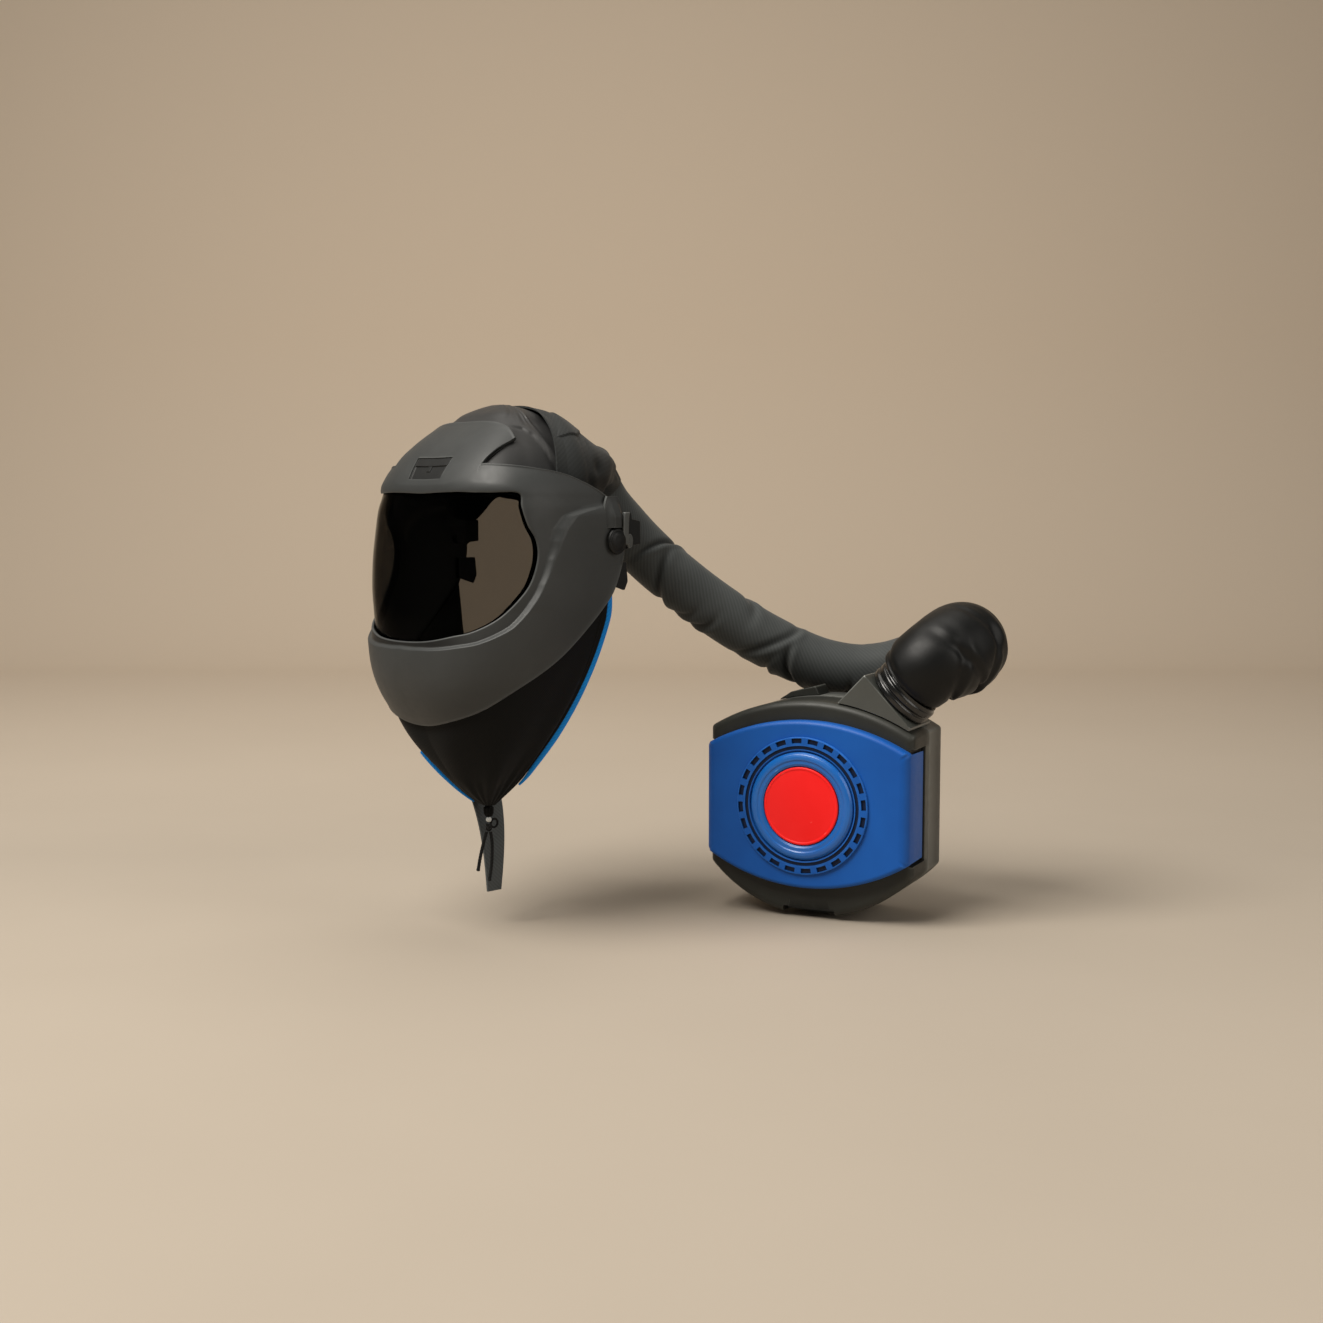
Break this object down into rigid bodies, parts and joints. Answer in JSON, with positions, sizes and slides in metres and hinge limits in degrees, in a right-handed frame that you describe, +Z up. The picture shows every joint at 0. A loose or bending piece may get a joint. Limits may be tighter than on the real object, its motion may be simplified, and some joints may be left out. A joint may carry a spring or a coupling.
{
  "type": "powered air-purifying respirator",
  "caption": "Powered respirator: hard helmet with a clear visor and a drawn-in cloth cape, joined by a cloth-covered hose to a belt blower with a blue filter cover and a red disc.",
  "frame": {"origin": "midway between the two temple pivots of the helmet, inside the space for the head", "axes": "+Z up as worn, -Y the way the helmet faces, +X the wearer's left"},
  "size_m": [0.4546, 0.5171, 0.4872],
  "materials": {
    "shell_plastic": "satin grey moulded plastic",
    "black_plastic": "semi-gloss black moulded plastic",
    "clear_plastic": "clear polished plastic sheet",
    "rubber": "soft matt black rubber",
    "black_cloth": "dense black woven cloth",
    "hose_cloth": "dark grey flame-resistant cloth",
    "blue_tape": "bright blue binding tape",
    "grey_webbing": "grey woven webbing",
    "white_plastic": "pale plastic",
    "housing_plastic": "dark grey satin plastic",
    "back_plastic": "grey satin plastic",
    "blue_plastic": "blue satin plastic",
    "red_plastic": "red plastic"
  },
  "bodies": {
    "root": {"helmet_shell": "shell_plastic", "brow_socket": "black_plastic", "visor_lens": "clear_plastic", "visor_seal": "rubber", "crown_dome": "black_plastic", "crown_hood": "hose_cloth", "pivot_left": "black_plastic", "pivot_right": "black_plastic", "pivot_cup_left": "shell_plastic", "pivot_cup_right": "shell_plastic", "latch_left": "black_plastic", "latch_right": "black_plastic", "rear_tab_left": "black_plastic", "rear_tab_right": "black_plastic", "cape": "black_cloth", "cape_piping": "blue_tape", "cape_binding_left": "blue_tape", "cape_binding_right": "blue_tape", "cape_gather": "black_cloth", "cord_bead": "white_plastic", "drawstring_knot": "black_cloth", "drawstring_end_a": "black_cloth", "drawstring_end_b": "black_cloth", "pull_tail": "grey_webbing", "hose": "hose_cloth", "elbow_boot": "rubber", "hose_coupling": "rubber", "housing_front": "housing_plastic", "housing_back": "back_plastic", "base_strip": "grey_webbing", "top_guide": "housing_plastic", "filter_cover": "blue_plastic", "intake_ring": "blue_plastic", "hub_ring": "blue_plastic", "hub_disc": "red_plastic", "outlet_duct": "back_plastic"}
  },
  "joints": []
}
